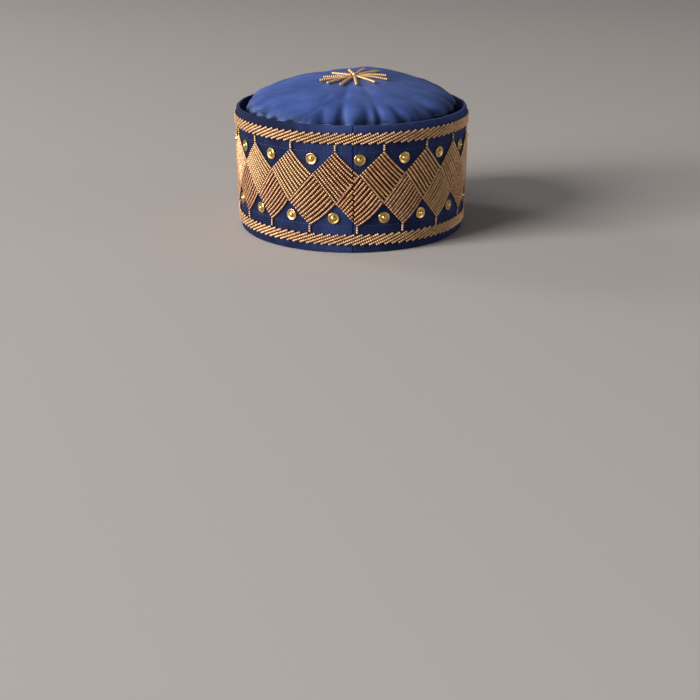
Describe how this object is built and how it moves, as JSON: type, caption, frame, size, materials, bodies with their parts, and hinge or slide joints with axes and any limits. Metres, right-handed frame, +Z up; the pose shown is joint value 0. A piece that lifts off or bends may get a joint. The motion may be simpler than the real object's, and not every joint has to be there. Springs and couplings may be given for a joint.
{
  "type": "beaded pillbox cap",
  "caption": "Upright oval cap with a flat beadwork band between two braids, brass studs and a puffed, gathered cloth crown with a beaded star.",
  "frame": {"origin": "centre of the head opening, on the plane of the hem that the cap rests on", "axes": "+Z up through the crown, +Y towards the wearer's front, -Y the back with the seam, +X the wearer's right"},
  "size_m": [0.1766, 0.2039, 0.1141],
  "materials": {
    "band_cloth": "navy cotton velvet",
    "crown_cloth": "blue cotton sateen",
    "beadwork": "bronze-gold glass seed beads",
    "studs": "polished yellow brass"
  },
  "bodies": {
    "root": {"band": "band_cloth", "crown": "crown_cloth", "braid_upper": "beadwork", "braid_lower": "beadwork", "bead_lattice": "beadwork", "crown_star": "beadwork", "stud_upper_01": "studs", "stud_upper_02": "studs", "stud_upper_03": "studs", "stud_upper_04": "studs", "stud_upper_05": "studs", "stud_upper_06": "studs", "stud_upper_07": "studs", "stud_upper_08": "studs", "stud_upper_09": "studs", "stud_upper_10": "studs", "stud_upper_11": "studs", "stud_upper_12": "studs", "stud_upper_13": "studs", "stud_upper_14": "studs", "stud_upper_15": "studs", "stud_upper_16": "studs", "stud_upper_17": "studs", "stud_lower_01": "studs", "stud_lower_02": "studs", "stud_lower_03": "studs", "stud_lower_04": "studs", "stud_lower_05": "studs", "stud_lower_06": "studs", "stud_lower_07": "studs", "stud_lower_08": "studs", "stud_lower_09": "studs", "stud_lower_10": "studs", "stud_lower_11": "studs", "stud_lower_12": "studs", "stud_lower_13": "studs", "stud_lower_14": "studs", "stud_lower_15": "studs", "stud_lower_16": "studs", "stud_lower_17": "studs"}
  },
  "joints": []
}
